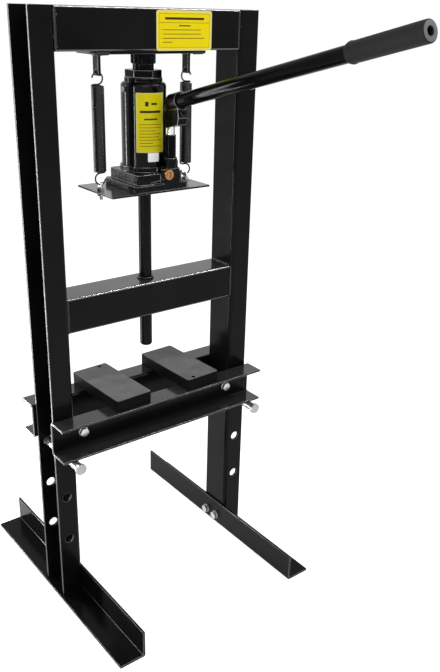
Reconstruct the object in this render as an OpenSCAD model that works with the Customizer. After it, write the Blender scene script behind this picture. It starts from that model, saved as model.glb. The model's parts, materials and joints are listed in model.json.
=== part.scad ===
// H-frame shop press with a hydraulic bottle jack.
// Units are millimetres. X runs to the right, Y to the back and Z up.
// The origin is on the floor, midway between the posts and under the press ram.

/* [Frame] */
// Height of the posts' tops above the floor
frame_h = 930; // [900:5:1120]
// Width over the outer edges of the posts
frame_w = 380; // [350:5:460]
// Depth of a post, front to back
post_d = 61; // [50:1:76]
// Width of a post's flanges
post_flange = 36.5; // [34:0.5:44]
// Thickness of the channels, tubes and feet
wall_t = 4; // [3:0.5:5]
// Outer bend radius of the channels
bend_r = 6; // [5:0.5:8]
// Outer corner radius of the two tubes
tube_r = 3; // [2:0.5:5]
// Length of a foot, front to back
foot_l = 444; // [360:4:560]
// Height of a foot's upright flange
foot_h = 47.5; // [40:0.5:60]
// Width of a foot's flange on the floor
foot_w = 45; // [40:1:56]
// Height of the foot bolts above the floor
foot_bolt_z = 17; // [15:1:30]

/* [Beams] */
// Height of the top beam
top_beam_h = 57; // [50:1:70]
// Height of the guide beam
guide_h = 55; // [45:1:65]
// Depth of the guide beam
guide_d = 54; // [44:1:60]
// Distance from the jack plate's top down to the guide beam's top
guide_drop = 149; // [145:1:170]
// Outer diameter of the guide bush
bush_d = 26; // [24:1:34]
// Height of the bush above the guide beam
bush_proud = 3; // [1:0.5:6]
// Length of the bar under the top beam
bar_l = 190; // [180:2:260]
// Width of that bar
bar_w = 48; // [36:1:50]
// Thickness of that bar and of its tabs
bar_t = 4.5; // [3:0.5:6]
// Width of a spring tab
tab_w = 15; // [12:1:20]
// Hole of a spring tab
tab_hole_d = 5; // [4.5:0.5:7]

/* [Bed] */
// Height of a bed channel
bed_h = 58; // [50:1:72]
// Depth of a bed channel, web and flange together
bed_flange = 39; // [32:1:50]
// Length of the bed past the posts, each end
bed_over = 5; // [0:1:20]
// Gap between a bed channel and the posts
bed_gap = 0.5; // [0.4:0.1:1.5]
// Height of the lowest pin holes
hole_low_z = 115; // [90:5:150]
// Distance between the levels of the pin holes
hole_pitch = 80; // [60:5:100]
// Diameter of the pin holes
hole_d = 15; // [14.8:0.1:18]
// Diameter of a support pin
pin_d = 14; // [12:0.1:14.2]
// Head of a support pin
pin_head_d = 18; // [17:0.5:24]
// Length of a press plate
plate_l = 137; // [120:1:150]
// Width of a press plate
plate_w = 65; // [50:1:72]
// Thickness of a press plate
plate_t = 20; // [12:1:25]
// Hanging hole of a press plate
plate_hole_d = 6; // [4:0.5:10]

/* [Jack] */
// Height of the closed jack
jack_h = 190.4; // [186:0.2:200]
// Outer diameter of the oil tank
tank_d = 67; // [64:0.5:80]
// Height of the oil tank
tank_h = 127; // [122:1:128]
// Wall of the oil tank
tank_wall = 2.5; // [2:0.5:4]
// Outer diameter of the cylinder in the tank
cylinder_d = 45; // [42:1:48]
// Bore of that cylinder
bore_d = 34; // [33:0.5:36]
// Diameter of the jack's ram
ram_d = 31; // [28:0.5:32]
// Diameter of the extension screw
screw_d = 19; // [14:0.5:22]
// Saddle of the extension screw
saddle_d = 37; // [33:1:42]
// Across the corners of the cap nut
cap_d = 54; // [52:1:56]
// Width of the jack's base past the tank, each side
base_side = 12.5; // [9.5:0.5:16.5]
// Length of the jack's base ahead of the tank
base_toe = 17.5; // [16.5:0.5:20.5]
// Length of the jack's base behind the tank
base_heel = 8.5; // [6.5:0.5:16.5]

/* [Pump] */
// Distance of the pump to the right of the ram
pump_x = 18; // [17:0.5:20]
// Distance of the pump's axis ahead of the tank
pump_gap = 10.5; // [9.5:0.5:12.5]
// Diameter of the pump barrel
barrel_d = 16; // [15:0.5:17]
// Diameter of the plunger
plunger_d = 10; // [8.5:0.5:10.5]
// Diameter of the handle tube
handle_d = 20; // [18:0.5:22]
// Distance from the fulcrum to the far end of the handle
handle_l = 474; // [360:2:600]
// Length of the grip
grip_l = 108; // [80:1:140]
// Rise of the handle above level at its lower stop
handle_rise = 14.3; // [10:0.1:18]
// Distance between the fulcrum and the plunger pin
lever_r = 10.5; // [10:0.1:11]
// Swing of the handle from its lower to its upper stop
handle_swing = 35; // [25:1:36]

/* [Carriage] */
// Length of the jack plate, side to side
jack_plate_l = 174; // [172:1:220]
// Width of the jack plate past the front of the jack's base, front and back
jack_plate_margin = 0; // [0:0.5:4]
// Thickness of the jack plate
jack_plate_t = 3; // [2.5:0.5:6]
// Diameter of the press ram
press_ram_d = 20; // [18:0.5:22]
// Length of the press ram below the guide beam
ram_drop = 61; // [30:1:70]
// Distance of a return spring from the middle
spring_x = 76.5; // [70:0.5:80]
// Outer diameter of a return spring
spring_d = 19; // [16:0.5:20]
// Wire of the springs
wire_d = 2.4; // [1.8:0.1:2.6]

/* [Hidden] */
$fn = 64;
seat = 0.1;
fit = 0.08;
web_x = frame_w / 2 - post_flange;
hole_x = web_x + (post_flange + wall_t) / 2 - 0.25;
hole_levels = [for (i = [0:2]) hole_low_z + i * hole_pitch];

top_beam_z = frame_h - top_beam_h;
bar_z = top_beam_z - bar_t;
jack_top = bar_z - seat;
jack_z = jack_top - jack_h;
guide_z = jack_z - guide_drop - guide_h;
press_ram_z = guide_z - ram_drop;
weld = 5;
groove_weld = 0.6 * bend_r;
label_l = 97;
label_h = 54;
label_t = 0.3;
label_x = 51.5;

m8_d = 8;
m8_af = 13;
m8_head_h = 5.3;
m8_nut_h = 6.5;
m8_hole_d = 8.4;
m8_washer_d = 16;
washer_t = 1.6;
foot_bolt_y = [18, -10];
foot_bolt_l = washer_t + 2 * wall_t + m8_nut_h + 2;

bed_web_y = post_d / 2 + bed_gap;
pin_z = hole_levels[2];
bed_z = pin_z + pin_d / 2 + 0.3;
bed_l = frame_w + 2 * bed_over;
bed_top_z = bed_z + bed_h;
bed_bolt_x = web_x - 11.5;
bed_bolt_z = bed_z + 27;
spacer_d = 16;
pin_end_y = bed_web_y + bed_flange + 10;
pin_head_t = 5.5;
plate_y = 3.5;
left_plate_x = -66.5;
right_plate_x = 69;
plate_turn = 2.4;

flange_t = 10;
block_h = 15;
base_w = tank_d + 2 * base_side;
base_front = tank_d / 2 + base_toe;
base_back = tank_d / 2 + base_heel;
jack_plate_w = 2 * (base_front + jack_plate_margin);
ring_h = 8;
ring_d = tank_d + 6;
base_corner_r = 6;
block_x = base_w / 2 - 7;
block_front = base_front - 5;
block_back = base_back - 4;
block_z = jack_z + flange_t + block_h;
tank_top_z = block_z + tank_h;
tank_shoulder = 6;
cylinder_z = block_z - 3;
cylinder_top_z = tank_top_z + 9.5;
cap_collar_h = 6;
cap_h = 16.5;
cap_top_z = tank_top_z + cap_h;
cap_turn = 27.4;
gland_h = 3.5;
piston_h = 8;
ram_z = cylinder_z + 3;
ram_seal_h = 5;
saddle_h = 14;
saddle_z = jack_top - saddle_h;
ram_top_z = saddle_z - 0.3;
screw_l = 61;
screw_hole_l = 64;
oil_plug_z = tank_top_z - 10;
tank_label_z = jack_z + 54;
tank_label_h = 84.5;
tank_label_turn = -142;
tank_label_arc = 75;
sticker_turn = -113;
sticker_arc = 30;
sticker_h = 13;
ball_d = 5.8;
oil_way_d = 4;

pump_front = tank_d / 2 + pump_gap;
pump_y = -pump_front;
boss_d = barrel_d + 4;
boss_top_z = block_z + 22;
barrel_z = block_z + 9;
barrel_top_z = block_z + 55;
chamber_z = block_z - 6;
pump_block_x = [-1, 32];
pump_block_h = 6.5;
valve_x = 9.3;
valve_z = block_z - 1.6;
valve_head_d = 15;
valve_stem_d = 8;
valve_stem_l = 17;

lug_y = pump_y + lever_r * (1 + cos(handle_swing / 2)) / 2;
lug_z = barrel_top_z + 39;
lug_r = 4.5;
lug_pin_d = 5;
rivet_d = lug_pin_d + 1.4;
rivet_t = 1;
pin_play = 0.5;
cheek_t = 4;
slot_w = 8;
socket_w = slot_w + 2 * cheek_t;
tube_lift = 2.1;
sleeve_d = handle_d + 6;
sleeve_start = 16;
sleeve_end = 39.7;
slot_end = 18.5;
tube_start = 20;
handle_wall = 2;
grip_d = handle_d + 4;
grip_collar_d = grip_d + 5;
grip_cap = 4;
arm_turn = handle_swing / 2 + handle_rise;
plunger_pin_z = lug_z - lever_r * sin(handle_swing / 2);
plunger_pin_d = 5;
plunger_z = barrel_z + 4;
plunger_flat_z = barrel_top_z + 8;
tongue_w = slot_w - 0.6;
link_x = pump_x + socket_w / 2 + 0.3;
link_t = 4;
link_r = 3.6;
link_low_z = block_z + 13;
base_lug_t = 5.4;

hook_r = (spring_d - wire_d) / 2;
coil_low_z = jack_z + 26;
coil_top_z = bar_z - 41.5;
coil_count = floor((coil_top_z - coil_low_z) / wire_d);
coil_pitch = (coil_top_z - coil_low_z - wire_d) / (coil_count - 1);
hook_step = wire_d / 4;
hook_turn = 265;
tab_hole_z = coil_top_z + hook_step + 2 * hook_r + tab_hole_d / 2 - wire_d / 2 - 0.6;
tab_end_z = tab_hole_z - tab_hole_d / 2 - 3;
stud_d = 6;
stud_nut_af = 10;
stud_nut_h = 5;
eye_t = 3.2;
eye_w = 9;
eye_hole_d = 3.6;
eye_hole_z = coil_low_z - hook_step - 2 * hook_r + wire_d / 2 + 0.3 - eye_hole_d / 2;
eye_top_z = eye_hole_z + eye_hole_d / 2 + 2.4;
stud_end_z = jack_z - 14;

// ---- Sections ----

// A block on the XY plane whose corners are rounded, about its own middle.
module rounded_rect(w, h, r) {
  square([w - 2 * r, h], center = true);
  square([w, h - 2 * r], center = true);
  for (x = [-1, 1], y = [-1, 1])
    translate([x * (w / 2 - r), y * (h / 2 - r)]) circle(r);
}

// A channel whose web stands at x = 0 and whose flanges run to x = flange.
module channel_section(depth, flange, t, r) {
  difference() {
    union() {
      translate([r, -depth / 2]) square([flange - r, depth]);
      translate([0, -depth / 2 + r]) square([flange, depth - 2 * r]);
      for (y = [-1, 1]) translate([r, y * (depth / 2 - r)]) circle(r);
    }
    translate([r, -depth / 2 + t]) square([flange, depth - 2 * t]);
    translate([t, -depth / 2 + r]) square([flange, depth - 2 * r]);
    for (y = [-1, 1]) translate([r, y * (depth / 2 - r)]) circle(r - t);
  }
}

module tube_section(w, h, t, r) {
  difference() {
    rounded_rect(w, h, r);
    square([w - 2 * t, h - 2 * t], center = true);
  }
}

// An angle iron with its outer corner at the origin, rounded.
module angle_section(w, h, t, r) {
  difference() {
    union() {
      square([w, t]);
      square([t, h]);
    }
    difference() {
      square(r);
      translate([r, r]) circle(r);
    }
  }
}

module along_x(length) {
  rotate([90, 0, 90]) linear_extrude(length, center = true) children();
}

module along_y(length) {
  rotate([90, 0, 0]) linear_extrude(length, center = true) children();
}

// Cylinders about X and Y, from the origin towards the positive end.
module x_rod(d, length) {
  rotate([0, 90, 0]) cylinder(d = d, h = length);
}

module y_rod(d, length) {
  rotate([-90, 0, 0]) cylinder(d = d, h = length);
}

// A ring about Z from height z0 to z1.
module ring(outer_d, inner_d, z0, z1) {
  difference() {
    translate([0, 0, z0]) cylinder(d = outer_d, h = z1 - z0);
    translate([0, 0, z0 - 1]) cylinder(d = inner_d, h = z1 - z0 + 2);
  }
}

module both_sides() {
  for (side = [0, 1]) mirror([side, 0, 0]) children();
}

module hex_bar(af, h) {
  cylinder(d = af / cos(30), h = h, $fn = 6);
}

// A bolt whose head ends at the origin and whose shank runs up Z.
module hex_bolt(length) {
  translate([0, 0, -m8_head_h]) hex_bar(m8_af, m8_head_h);
  cylinder(d = m8_d, h = length);
}

module hex_nut(af, hole, h) {
  difference() {
    hex_bar(af, h);
    translate([0, 0, -1]) cylinder(d = hole + seat, h = h + 2);
  }
}

// ---- Frame ----

module post() {
  difference() {
    translate([web_x, 0, wall_t])
      linear_extrude(frame_h - wall_t)
        channel_section(post_d, post_flange, wall_t, bend_r);
    for (z = hole_levels)
      translate([hole_x, -post_d, z]) y_rod(hole_d, 2 * post_d);
    for (y = foot_bolt_y)
      translate([web_x - 1, y, foot_bolt_z]) x_rod(m8_hole_d, wall_t + 2);
  }
}

module left_post() {
  color("#1c1c1e") mirror([1, 0, 0]) post();
}

module right_post() {
  color("#1c1c1e") post();
}

module foot() {
  difference() {
    translate([web_x - wall_t, 0, 0])
      along_y(foot_l) angle_section(foot_w, foot_h, wall_t, wall_t - 1);
    for (y = foot_bolt_y)
      translate([web_x - wall_t - 1, y, foot_bolt_z]) x_rod(m8_hole_d, wall_t + 2);
  }
}

module left_foot() {
  color("#1c1c1e") mirror([1, 0, 0]) foot();
}

module right_foot() {
  color("#1c1c1e") foot();
}

// Places its children at each foot bolt, with Z along the bolt.
module at_foot_bolts(offset) {
  both_sides()
    for (y = foot_bolt_y)
      translate([web_x - wall_t + offset, y, foot_bolt_z]) rotate([0, 90, 0]) children();
}

module foot_bolts() {
  color("#303034") at_foot_bolts(-washer_t) hex_bolt(foot_bolt_l);
}

module foot_washers() {
  color("#303034") at_foot_bolts(0) ring(m8_washer_d, m8_hole_d, -washer_t, 0);
}

module foot_nuts() {
  color("#303034") at_foot_bolts(2 * wall_t) hex_nut(m8_af, m8_d, m8_nut_h);
}

module top_beam() {
  color("#1c1c1e")
    translate([0, 0, top_beam_z + top_beam_h / 2])
      along_x(2 * web_x) tube_section(post_d, top_beam_h, wall_t, tube_r);
}

module guide_beam() {
  color("#1c1c1e")
    difference() {
      translate([0, 0, guide_z + guide_h / 2])
        along_x(2 * web_x) tube_section(guide_d, guide_h, wall_t, tube_r);
      translate([0, 0, guide_z - 1]) cylinder(d = bush_d + seat, h = guide_h + 2);
    }
}

module guide_bush() {
  color("#1c1c1e")
    ring(bush_d, press_ram_d + 2 * fit, guide_z, guide_z + guide_h + bush_proud);
}

module hanger_bar() {
  color("#1c1c1e")
    translate([0, 0, bar_z + bar_t / 2]) cube([bar_l, bar_w, bar_t], center = true);
}

module hanger_tabs() {
  color("#1c1c1e")
    both_sides()
      difference() {
        translate([spring_x - bar_t / 2, -tab_w / 2, tab_end_z])
          cube([bar_t, tab_w, bar_z - tab_end_z]);
        translate([spring_x - bar_t, 0, tab_hole_z]) x_rod(tab_hole_d, 2 * bar_t);
      }
}

// A fillet along Y in the corner between a face above and a face on its right.
module fillet_weld(length) {
  along_y(length) polygon([[0, 0], [-weld, 0], [0, -weld]]);
}

// The groove between the end of the top beam and a post's bend, filled with weld.
module groove_section() {
  difference() {
    square(groove_weld);
    translate([bend_r, bend_r]) circle(bend_r + seat / 2);
  }
}

module frame_welds() {
  color("#1c1c1e")
    both_sides() {
      for (side = [0, 1])
        mirror([0, side, 0])
          translate([web_x, -post_d / 2, top_beam_z + tube_r])
            linear_extrude(top_beam_h - 2 * tube_r) groove_section();
      translate([web_x, 0, guide_z]) fillet_weld(guide_d - 4 * tube_r);
      translate([web_x, 0, guide_z + guide_h])
        mirror([0, 0, 1]) fillet_weld(guide_d - 4 * tube_r);
      translate([spring_x - bar_t / 2, 0, bar_z]) fillet_weld(tab_w);
      translate([spring_x + bar_t / 2, 0, bar_z]) mirror([1, 0, 0]) fillet_weld(tab_w);
    }
}

module beam_label() {
  color("#e3d22c")
    translate([label_x, -post_d / 2 - label_t / 2, top_beam_z + label_h / 2])
      along_y(label_t) rounded_rect(label_l, label_h, 4);
}

// ---- Extension screw and ram of the jack ----

module extension_screw() {
  flutes = 8;
  color("#2a2a2c")
    difference() {
      union() {
        translate([0, 0, saddle_z]) cylinder(d = saddle_d, h = saddle_h);
        translate([0, 0, saddle_z - screw_l]) cylinder(d = screw_d, h = screw_l + 1);
      }
      for (i = [0:flutes - 1])
        rotate([0, 0, i * 360 / flutes])
          translate([saddle_d / 2 + 1, 0, saddle_z - 1]) cylinder(d = 6, h = saddle_h + 2);
    }
}

module jack_ram() {
  color("#2a2a2c")
    difference() {
      union() {
        translate([0, 0, ram_z]) cylinder(d = ram_d, h = ram_top_z - ram_z);
        translate([0, 0, ram_z]) cylinder(d = bore_d - 2 * fit, h = piston_h);
      }
      translate([0, 0, ram_top_z - screw_hole_l])
        cylinder(d = screw_d + 2 * fit, h = screw_hole_l + 1);
    }
}

module ram_seal() {
  color("#c9a24a")
    ring(bore_d - 2 * fit, ram_d + seat, ram_z + piston_h, ram_z + piston_h + ram_seal_h);
}

// ---- Carriage: plate, press ram and hook bolts ----

module jack_plate() {
  color("#1c1c1e")
    difference() {
      translate([0, 0, jack_z - jack_plate_t / 2])
        cube([jack_plate_l, jack_plate_w, jack_plate_t], center = true);
      both_sides()
        translate([spring_x, 0, jack_z - jack_plate_t - 1])
          cylinder(d = stud_d + 0.4, h = jack_plate_t + 2);
    }
}

module press_ram() {
  round_r = 4;
  plate_under = jack_z - jack_plate_t;
  color("#1c1c1e")
    rotate_extrude() {
      translate([0, press_ram_z])
        square([press_ram_d / 2 - round_r, plate_under - press_ram_z]);
      translate([0, press_ram_z + round_r])
        square([press_ram_d / 2, plate_under - press_ram_z - round_r]);
      translate([press_ram_d / 2 - round_r, press_ram_z + round_r]) circle(round_r);
    }
}

module hook_bolts() {
  color("#b9bcc0")
    both_sides()
      translate([spring_x, 0, 0])
        difference() {
          union() {
            translate([0, 0, stud_end_z])
              cylinder(d = stud_d, h = jack_z + stud_nut_h + 1 - stud_end_z);
            translate([-eye_t / 2, -eye_w / 2, jack_z + stud_nut_h + 0.5])
              cube([eye_t, eye_w, eye_top_z - jack_z - stud_nut_h - 0.5]);
          }
          translate([-eye_t, 0, eye_hole_z]) x_rod(eye_hole_d, 2 * eye_t);
        }
}

module hook_bolt_nuts() {
  color("#b9bcc0")
    both_sides()
      translate([spring_x, 0, 0]) {
        translate([0, 0, jack_z]) hex_nut(stud_nut_af, stud_d, stud_nut_h);
        translate([0, 0, jack_z - jack_plate_t - stud_nut_h])
          hex_nut(stud_nut_af, stud_d, stud_nut_h);
      }
}

// ---- Carriage: body of the jack ----

// A block between two Y values whose upright edges are rounded.
module base_layer(half_w, front, back, z0, z1) {
  translate([0, (back - front) / 2, z0])
    linear_extrude(z1 - z0) rounded_rect(2 * half_w, front + back, base_corner_r);
}

module pump_boss() {
  block_w = pump_block_x[1] - pump_block_x[0];
  translate([(pump_block_x[0] + pump_block_x[1]) / 2, -base_front / 2 - 12, jack_z + flange_t - 1])
    linear_extrude(block_h + pump_block_h + 1) rounded_rect(block_w, base_front - 24, 4);
  translate([pump_x, pump_y, block_z + pump_block_h - 0.4])
    cylinder(d = boss_d, h = boss_top_z - block_z - pump_block_h + 0.4);
}

module base_lug() {
  x = link_x + link_t + 0.3;
  translate([x, lug_y - lug_r, block_z - 1]) cube([base_lug_t, 2 * lug_r, link_low_z - block_z + 1]);
  translate([x, lug_y, link_low_z]) x_rod(2 * lug_r, base_lug_t);
}

module base_bores() {
  translate([0, 0, block_z]) cylinder(d = tank_d + 0.2, h = 100);
  translate([0, 0, cylinder_z]) cylinder(d = cylinder_d + seat, h = 100);
  translate([0, 0, cylinder_z - 9]) cylinder(d = ball_d + 0.2, h = 10);
  translate([pump_x, pump_y, barrel_z]) cylinder(d = barrel_d + seat, h = 100);
  translate([pump_x, pump_y, chamber_z]) cylinder(d = ball_d + 0.2, h = 100);
  translate([valve_x, -base_front - 1, valve_z])
    y_rod(valve_stem_d + 2 * fit, valve_stem_l + 3);
  translate([link_x, lug_y, link_low_z]) x_rod(lug_pin_d + seat, 20);
  translate([0, 0, cylinder_z - 6])
    rotate([90, 0, atan(pump_x / pump_front)])
      cylinder(d = oil_way_d, h = norm([pump_x, pump_front]) + 1.5);
  translate([pump_x, pump_y, cylinder_z - 6])
    cylinder(d = oil_way_d - 1, h = chamber_z - cylinder_z + 7);
}

module jack_base() {
  color("#26262a")
    difference() {
      union() {
        base_layer(base_w / 2, base_front, base_back, jack_z, jack_z + flange_t);
        base_layer(block_x, block_front, block_back, jack_z + flange_t - 1, block_z);
        translate([0, 0, block_z - 1]) cylinder(d = ring_d, h = ring_h + 1);
        pump_boss();
        base_lug();
      }
      base_bores();
    }
}

module jack_cylinder() {
  color("#8a8d90") ring(cylinder_d, bore_d, cylinder_z, cylinder_top_z);
}

// Half the section of the tank: a wall with a rounded shoulder and a flat top.
module tank_half(r, z0, z1, shoulder) {
  translate([0, z0]) square([r, z1 - z0 - shoulder]);
  translate([0, z0]) square([r - shoulder, z1 - z0]);
  translate([r - shoulder, z1 - shoulder]) circle(shoulder);
}

module oil_tank() {
  color("#222226")
    difference() {
      rotate_extrude() tank_half(tank_d / 2, block_z, tank_top_z, tank_shoulder);
      rotate_extrude()
        tank_half(tank_d / 2 - tank_wall, block_z - 1, tank_top_z - tank_wall,
                  tank_shoulder - tank_wall);
      translate([0, 0, tank_top_z - 2 * tank_wall]) cylinder(d = cylinder_d + 0.2, h = 20);
      translate([-tank_d, 0, oil_plug_z]) x_rod(6.2, tank_d);
    }
}

module cap_nut() {
  collar_d = cap_d + 2;
  color("#222226")
    difference() {
      union() {
        translate([0, 0, tank_top_z]) cylinder(d = collar_d, h = cap_collar_h);
        rotate([0, 0, cap_turn])
          translate([0, 0, tank_top_z]) cylinder(d = cap_d, h = cap_h, $fn = 6);
      }
      translate([0, 0, tank_top_z - 1])
        cylinder(d = cylinder_d + seat, h = cylinder_top_z - tank_top_z + 1);
      translate([0, 0, cylinder_top_z - 1]) cylinder(d = ram_d + 9, h = gland_h + 1);
      translate([0, 0, tank_top_z - 1]) cylinder(d = ram_d + 2 * fit, h = cap_h + 2);
    }
}

module gland_seal() {
  color("#c9a24a")
    ring(ram_d + 9 - seat, ram_d + 2 * fit, cylinder_top_z, cylinder_top_z + gland_h);
}

// A sheet on the tank, from one angle round by an arc.
module tank_sheet(turn, arc, z, h) {
  rotate([0, 0, turn])
    rotate_extrude(angle = arc) translate([tank_d / 2 + seat, z]) square([label_t, h]);
}

module tank_label() {
  color("#e3d22c") tank_sheet(tank_label_turn, tank_label_arc, tank_label_z, tank_label_h);
}

module tank_sticker() {
  color("#f2f2f2")
    tank_sheet(sticker_turn, sticker_arc, tank_label_z - sticker_h - 0.5, sticker_h);
}

module oil_plug() {
  color("#3a3a3c")
    translate([-tank_d / 2 - 2, 0, oil_plug_z])
      union() {
        x_rod(6, tank_wall + 3);
        x_rod(9, 1.8);
      }
}

module valve_balls() {
  color("#b9bcc0") {
    translate([0, 0, cylinder_z - 9 + ball_d / 2 + seat]) sphere(d = ball_d);
    translate([pump_x, pump_y, chamber_z + ball_d / 2 + seat]) sphere(d = ball_d);
  }
}

module pump_barrel() {
  color("#222226")
    translate([pump_x, pump_y, 0])
      ring(barrel_d, plunger_d + 2 * fit, barrel_z, barrel_top_z);
}

module link_strap() {
  color("#222226")
    difference() {
      union() {
        translate([link_x, lug_y - link_r, link_low_z])
          cube([link_t, 2 * link_r, lug_z - link_low_z]);
        for (z = [link_low_z, lug_z]) translate([link_x, lug_y, z]) x_rod(2 * link_r, link_t);
      }
      for (z = [link_low_z, lug_z])
        translate([link_x - 1, lug_y, z]) x_rod(lug_pin_d + seat, link_t + 2);
    }
}

module link_pins() {
  low_x = link_x - rivet_t;
  high_x = pump_x + slot_w / 2 + 0.3;
  color("#b9bcc0") {
    translate([low_x, lug_y, link_low_z])
      x_rod(lug_pin_d, rivet_t + link_t + 0.3 + base_lug_t);
    translate([low_x, lug_y, link_low_z]) x_rod(rivet_d, rivet_t);
    translate([high_x, lug_y, lug_z]) x_rod(lug_pin_d, link_x + link_t - high_x + 0.5);
    translate([link_x + link_t, lug_y, lug_z]) x_rod(rivet_d, rivet_t);
  }
}

// ---- Return springs ----

// The hook at one end: wire across the coil, then most of a turn towards +X.
module spring_hook() {
  translate([-hook_r, 0, 0]) x_rod(wire_d, hook_r);
  translate([0, 0, hook_r])
    rotate([90, 0, 0])
      rotate([0, 0, -90])
        rotate_extrude(angle = hook_turn) translate([hook_r, 0]) circle(d = wire_d, $fn = 24);
}

// A close-wound spring: each turn is a ring, joined to the next by a thin skin.
module return_spring() {
  skin = wire_d * 0.4;
  rotate_extrude() {
    for (i = [0:coil_count - 1])
      translate([hook_r, coil_low_z + wire_d / 2 + i * coil_pitch]) circle(d = wire_d, $fn = 24);
    translate([hook_r - skin / 2, coil_low_z + wire_d / 2])
      square([skin, coil_top_z - coil_low_z - wire_d]);
  }
  translate([0, 0, coil_top_z + hook_step]) spring_hook();
  translate([0, 0, coil_low_z - hook_step]) rotate([0, 180, 0]) spring_hook();
}

module left_spring() {
  color("#2c2c30") translate([-spring_x, 0, 0]) return_spring();
}

module right_spring() {
  color("#2c2c30") mirror([1, 0, 0]) translate([-spring_x, 0, 0]) return_spring();
}

// ---- Pump handle ----

// The handle's own frame: the fulcrum is its origin and the handle points along -Y.
module handle_frame() {
  translate([pump_x, lug_y, lug_z]) rotate([-handle_rise, 0, 0]) children();
}

// Extrudes an outline drawn with x ahead of the fulcrum and y above it.
module side_outline(x, w) {
  translate([x, 0, 0])
    rotate([90, 0, 90]) mirror([1, 0, 0]) linear_extrude(w) children();
}

module socket_outline() {
  polygon([
    [2.5, -31], [31.5, -31], [38, -22], [38, -6],
    [sleeve_start, -6], [12.5, 0.8], [4, 0.8], [2.5, -4]
  ]);
}

// Runs a rod along the handle, from one distance ahead of the fulcrum to another.
module handle_rod(d, from, to) {
  translate([0, -to, tube_lift]) y_rod(d, to - from);
}

module handle_socket() {
  pin_at = [lever_r * cos(arm_turn), -lever_r * sin(arm_turn)];
  color("#222226")
    handle_frame()
      difference() {
        union() {
          side_outline(-socket_w / 2, socket_w) socket_outline();
          side_outline(slot_w / 2, cheek_t) circle(lug_r);
          handle_rod(sleeve_d, sleeve_start, sleeve_end);
        }
        translate([-slot_w / 2, -slot_end, -60]) cube([slot_w, 60, 120]);
        handle_rod(handle_d + 2 * fit, tube_start, sleeve_end + 1);
        handle_rod(handle_d - 2 * handle_wall, sleeve_start - 5, sleeve_end + 1);
        side_outline(-20, 40) translate(pin_at) circle(d = plunger_pin_d + 2 * pin_play);
        side_outline(0, 20) circle(d = lug_pin_d + seat);
        translate([0, -39, -15.5]) y_rod(6.1, 12);
      }
}

module handle_tube() {
  color("#1c1c1e")
    handle_frame()
      difference() {
        handle_rod(handle_d, tube_start, handle_l - grip_cap);
        handle_rod(handle_d - 2 * handle_wall, tube_start - 1, handle_l);
      }
}

module handle_grip() {
  color("#4a4a4c")
    handle_frame()
      difference() {
        union() {
          handle_rod(grip_d, handle_l - grip_l, handle_l);
          handle_rod(grip_collar_d, handle_l - grip_l, handle_l - grip_l + 4);
        }
        handle_rod(handle_d + seat, handle_l - grip_l - 1, handle_l - grip_cap);
        handle_rod(9, handle_l - grip_cap - 1, handle_l + 1);
      }
}

module socket_screw() {
  color("#b9bcc0")
    handle_frame() {
      translate([0, -38, -15.5]) y_rod(6, 10);
      translate([0, -40.5, -15.5]) y_rod(9, 2.5);
    }
}

module pump_plunger() {
  color("#c8cacc")
    difference() {
      translate([pump_x, pump_y, plunger_z])
        cylinder(d = plunger_d, h = plunger_pin_z + 4.5 - plunger_z);
      for (side = [-1, 1])
        translate([pump_x + side * (tongue_w / 2 + 5), pump_y, plunger_flat_z + 50])
          cube([10, 20, 100], center = true);
      translate([pump_x - 10, pump_y, plunger_pin_z]) x_rod(plunger_pin_d + seat, 20);
      translate([pump_x, pump_y, 0])
        ring(plunger_d + 2, plunger_d - 3, plunger_z + 5, plunger_z + 8);
    }
}

module plunger_pin() {
  color("#b9bcc0")
    translate([pump_x - socket_w / 2 - 0.5, pump_y, plunger_pin_z])
      x_rod(plunger_pin_d, socket_w + 0.6);
}

module plunger_seal() {
  color("#2c2c30")
    translate([pump_x, pump_y, 0])
      ring(plunger_d + fit, plunger_d - 3 + seat, plunger_z + 5.05, plunger_z + 7.95);
}

module release_valve() {
  color("#b5754a")
    translate([valve_x, -base_front, valve_z])
      difference() {
        union() {
          translate([0, -1, 0]) y_rod(valve_stem_d, valve_stem_l + 1);
          translate([0, -4, 0]) y_rod(valve_head_d, 3.9);
          translate([0, -6, 0]) y_rod(valve_head_d - 5, 3);
        }
        translate([-1, -7, -6]) cube([2, 2.6, 12]);
      }
}

// ---- Bed ----

module bed_channel() {
  difference() {
    translate([0, bed_web_y, bed_z + bed_h / 2])
      along_x(bed_l) channel_section(bed_h, bed_flange, wall_t, bend_r);
    both_sides()
      translate([bed_bolt_x, bed_web_y - 1, bed_bolt_z]) y_rod(m8_hole_d, wall_t + 2);
  }
}

module front_bed_channel() {
  color("#1c1c1e") mirror([0, 1, 0]) bed_channel();
}

module back_bed_channel() {
  color("#1c1c1e") bed_channel();
}

// Places its children on each bed bolt's axis at the given Y, with Z to the back.
module at_bed_bolts(y) {
  both_sides() translate([bed_bolt_x, y, bed_bolt_z]) rotate([-90, 0, 0]) children();
}

module bed_bolts() {
  outer_y = bed_web_y + wall_t;
  color("#b9bcc0")
    at_bed_bolts(-outer_y - washer_t) hex_bolt(2 * outer_y + 2 * washer_t + m8_nut_h + 2);
}

module bed_washers() {
  outer_y = bed_web_y + wall_t;
  color("#b9bcc0") {
    at_bed_bolts(-outer_y) ring(m8_washer_d, m8_hole_d, -washer_t, 0);
    at_bed_bolts(outer_y) ring(m8_washer_d, m8_hole_d, 0, washer_t);
  }
}

module bed_nuts() {
  color("#b9bcc0") at_bed_bolts(bed_web_y + wall_t + washer_t) hex_nut(m8_af, m8_d, m8_nut_h);
}

module bed_spacers() {
  color("#1c1c1e") at_bed_bolts(0) ring(spacer_d, m8_hole_d, -bed_web_y, bed_web_y);
}

module press_plate() {
  difference() {
    translate([0, 0, plate_t / 2]) cube([plate_w, plate_l, plate_t], center = true);
    translate([plate_w / 4, plate_l / 2 - 7, -1]) cylinder(d = plate_hole_d, h = plate_t + 2);
  }
}

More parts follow.
